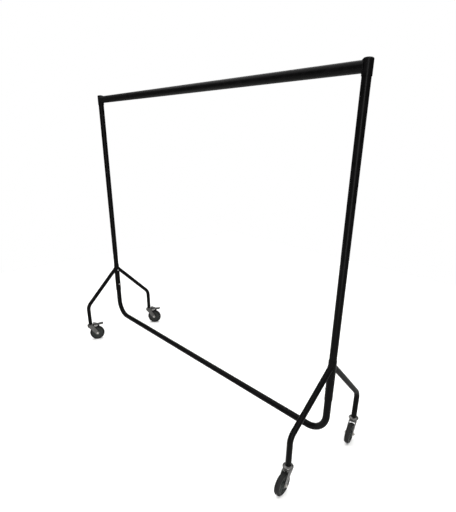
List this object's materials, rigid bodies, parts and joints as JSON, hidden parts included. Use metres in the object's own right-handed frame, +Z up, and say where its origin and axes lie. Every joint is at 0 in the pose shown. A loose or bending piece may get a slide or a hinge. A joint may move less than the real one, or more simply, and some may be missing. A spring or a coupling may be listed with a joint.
{
  "type": "rolling clothes rack",
  "caption": "Rolling clothes rack: black steel tube frame with a round hanging rail, splayed legs and a low bottom rail, on swivel casters.",
  "frame": {"origin": "on the floor, midway between the four caster stems", "axes": "+X along the hanging rail towards the end whose casters have no brakes, +Y across the rack towards the rear legs, +Z up"},
  "size_m": [1.8906, 0.64, 1.5915],
  "materials": {
    "black_powder_coat": "semi-gloss black powder coat on steel tube",
    "black_plastic": "satin",
    "zinc_screws": "bright zinc plate",
    "zinc_pressings": "zinc-plated pressed steel",
    "bright_steel": "turned and rolled steel",
    "insert_nylon": "satin nylon",
    "hub_plastic": "satin moulded plastic",
    "tread_rubber": "matt rubber",
    "pedal_steel": "satin dark coat on pressed steel",
    "shoe_rubber": "matt rubber"
  },
  "bodies": {
    "frame": {"bottom_bend_left": "black_powder_coat", "bottom_bend_right": "black_powder_coat", "bottom_rail": "black_powder_coat", "end_cap_left": "black_plastic", "end_cap_right": "black_plastic", "joint_screws": "zinc_screws", "leg_inserts": "insert_nylon", "leg_left_front": "black_powder_coat", "leg_left_rear": "black_powder_coat", "leg_right_front": "black_powder_coat", "leg_right_rear": "black_powder_coat", "lower_races": "zinc_pressings", "socket_left": "black_powder_coat", "socket_right": "black_powder_coat", "stem_left_front": "bright_steel", "stem_left_rear": "bright_steel", "stem_right_front": "bright_steel", "stem_right_rear": "bright_steel", "swivel_balls": "bright_steel", "swivel_cap_left_front": "zinc_pressings", "swivel_cap_left_rear": "zinc_pressings", "swivel_cap_right_front": "zinc_pressings", "swivel_cap_right_rear": "zinc_pressings", "top_collar_left": "black_powder_coat", "top_collar_right": "black_powder_coat", "top_rail": "black_powder_coat", "upright_left": "black_powder_coat", "upright_right": "black_powder_coat", "weld_beads": "black_powder_coat", "weld_nuts": "zinc_screws"},
    "caster_left_front": {"fork_left_front": "zinc_pressings", "axle_sleeve_left_front": "bright_steel", "axle_bolt_left_front": "bright_steel", "axle_nut_left_front": "bright_steel", "pivot_pin_left_front": "bright_steel"},
    "wheel_left_front": {"wheel_hub_left_front": "hub_plastic", "tyre_left_front": "tread_rubber"},
    "pedal_left_front": {"brake_pedal_left_front": "pedal_steel", "brake_shoe_left_front": "shoe_rubber"},
    "caster_left_rear": {"fork_left_rear": "zinc_pressings", "axle_sleeve_left_rear": "bright_steel", "axle_bolt_left_rear": "bright_steel", "axle_nut_left_rear": "bright_steel", "pivot_pin_left_rear": "bright_steel"},
    "wheel_left_rear": {"wheel_hub_left_rear": "hub_plastic", "tyre_left_rear": "tread_rubber"},
    "pedal_left_rear": {"brake_pedal_left_rear": "pedal_steel", "brake_shoe_left_rear": "shoe_rubber"},
    "caster_right_front": {"fork_right_front": "zinc_pressings", "axle_sleeve_right_front": "bright_steel", "axle_bolt_right_front": "bright_steel", "axle_nut_right_front": "bright_steel"},
    "wheel_right_front": {"wheel_hub_right_front": "hub_plastic", "tyre_right_front": "tread_rubber"},
    "caster_right_rear": {"fork_right_rear": "zinc_pressings", "axle_sleeve_right_rear": "bright_steel", "axle_bolt_right_rear": "bright_steel", "axle_nut_right_rear": "bright_steel"},
    "wheel_right_rear": {"wheel_hub_right_rear": "hub_plastic", "tyre_right_rear": "tread_rubber"}
  },
  "joints": [
    {"name": "swivel_left_front", "type": "hinge", "parent": "frame", "child": "caster_left_front", "pos_m": [-0.915, -0.241, 0.1115], "axis": [0, 0, 1], "continuous": true},
    {"name": "spin_left_front", "type": "hinge", "parent": "caster_left_front", "child": "wheel_left_front", "pos_m": [-0.90132, -0.20341, 0.05], "axis": [-0.9397, 0.342, 0], "continuous": true},
    {"name": "brake_left_front", "type": "hinge", "parent": "caster_left_front", "child": "pedal_left_front", "pos_m": [-0.90337, -0.20905, 0.108], "axis": [-0.9397, 0.342, 0], "range_deg": [0, 10]},
    {"name": "swivel_left_rear", "type": "hinge", "parent": "frame", "child": "caster_left_rear", "pos_m": [-0.915, 0.241, 0.1115], "axis": [0, 0, 1], "continuous": true},
    {"name": "spin_left_rear", "type": "hinge", "parent": "caster_left_rear", "child": "wheel_left_rear", "pos_m": [-0.88623, 0.26879, 0.05], "axis": [-0.6947, 0.7193, 0], "continuous": true},
    {"name": "brake_left_rear", "type": "hinge", "parent": "caster_left_rear", "child": "pedal_left_rear", "pos_m": [-0.89054, 0.26462, 0.108], "axis": [-0.6947, 0.7193, 0], "range_deg": [0, 10]},
    {"name": "swivel_right_front", "type": "hinge", "parent": "frame", "child": "caster_right_front", "pos_m": [0.915, -0.241, 0.1115], "axis": [0, 0, 1], "continuous": true},
    {"name": "spin_right_front", "type": "hinge", "parent": "caster_right_front", "child": "wheel_right_front", "pos_m": [0.92195, -0.28039, 0.05], "axis": [0.9848, 0.1736, 0], "continuous": true},
    {"name": "swivel_right_rear", "type": "hinge", "parent": "frame", "child": "caster_right_rear", "pos_m": [0.915, 0.241, 0.1115], "axis": [0, 0, 1], "continuous": true},
    {"name": "spin_right_rear", "type": "hinge", "parent": "caster_right_rear", "child": "wheel_right_rear", "pos_m": [0.92535, 0.20236, 0.05], "axis": [0.9659, 0.2588, 0], "continuous": true}
  ]
}
